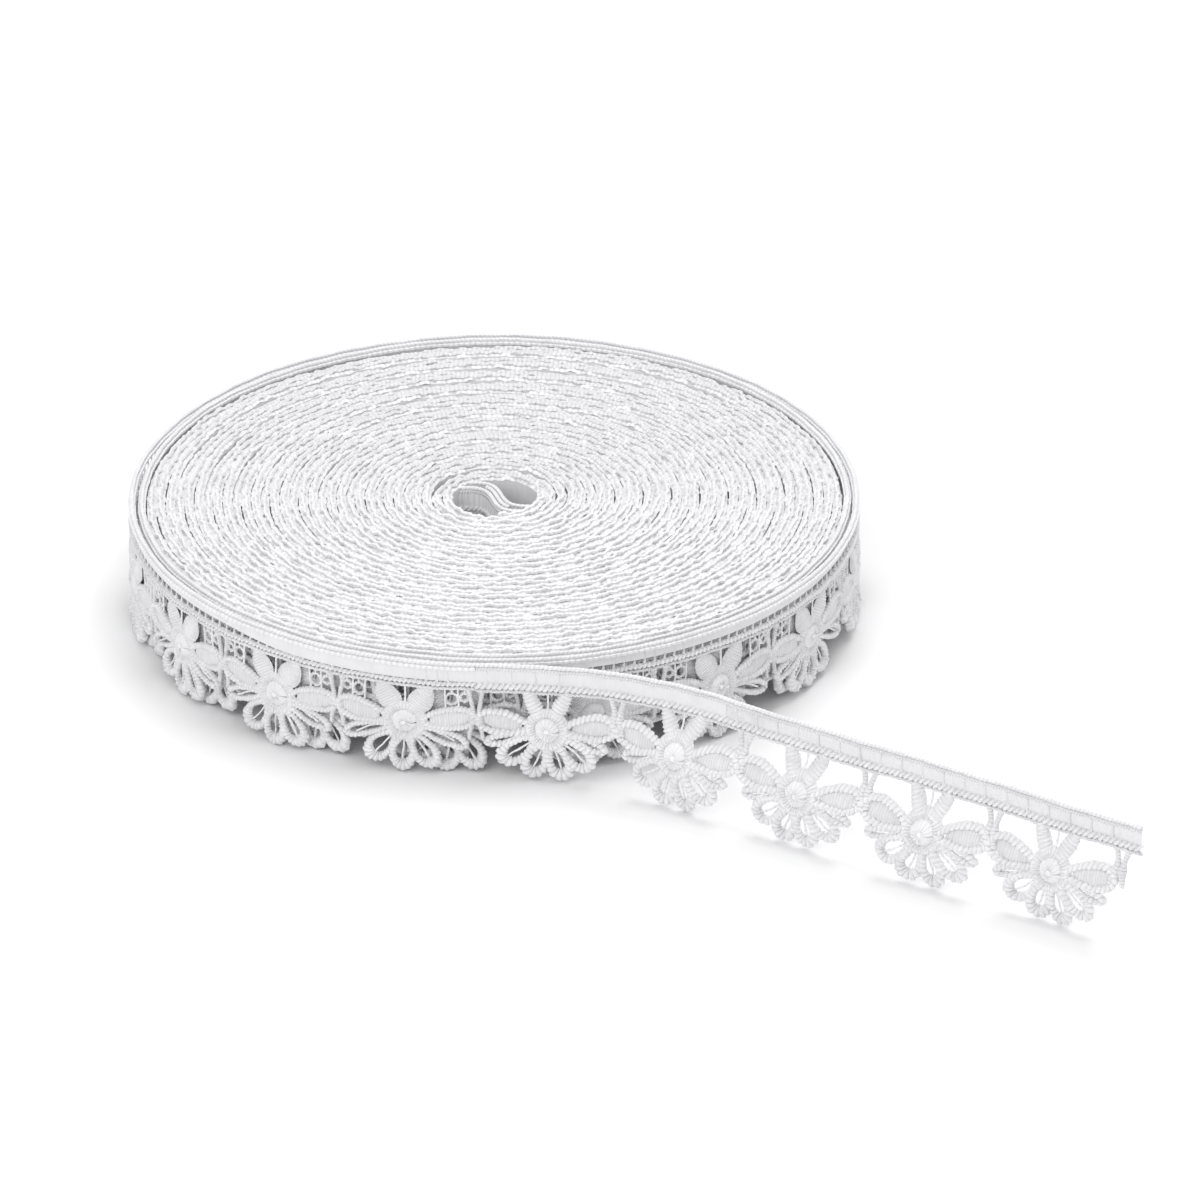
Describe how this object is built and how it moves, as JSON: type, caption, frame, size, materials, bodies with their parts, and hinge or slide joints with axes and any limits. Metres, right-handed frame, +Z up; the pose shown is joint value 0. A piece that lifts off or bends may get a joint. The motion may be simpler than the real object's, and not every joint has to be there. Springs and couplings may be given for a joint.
{
  "type": "roll of lace trim",
  "caption": "Scalloped flower lace edging wound on its edge into a flat disc, with one end left free and standing in front of the roll.",
  "frame": {"origin": "on the winding axis, at the surface that the roll rests on", "axes": "+Z up along the winding axis; -Y towards the front, where the loose end leaves the roll; the loose end runs to +X and -Y"},
  "size_m": [0.199, 0.2176, 0.0254],
  "materials": {
    "lace_thread": "white satin-stitched embroidery thread, slight sheen"
  },
  "bodies": {
    "root": {"wound_roll": "lace_thread", "loose_end": "lace_thread"}
  },
  "joints": []
}
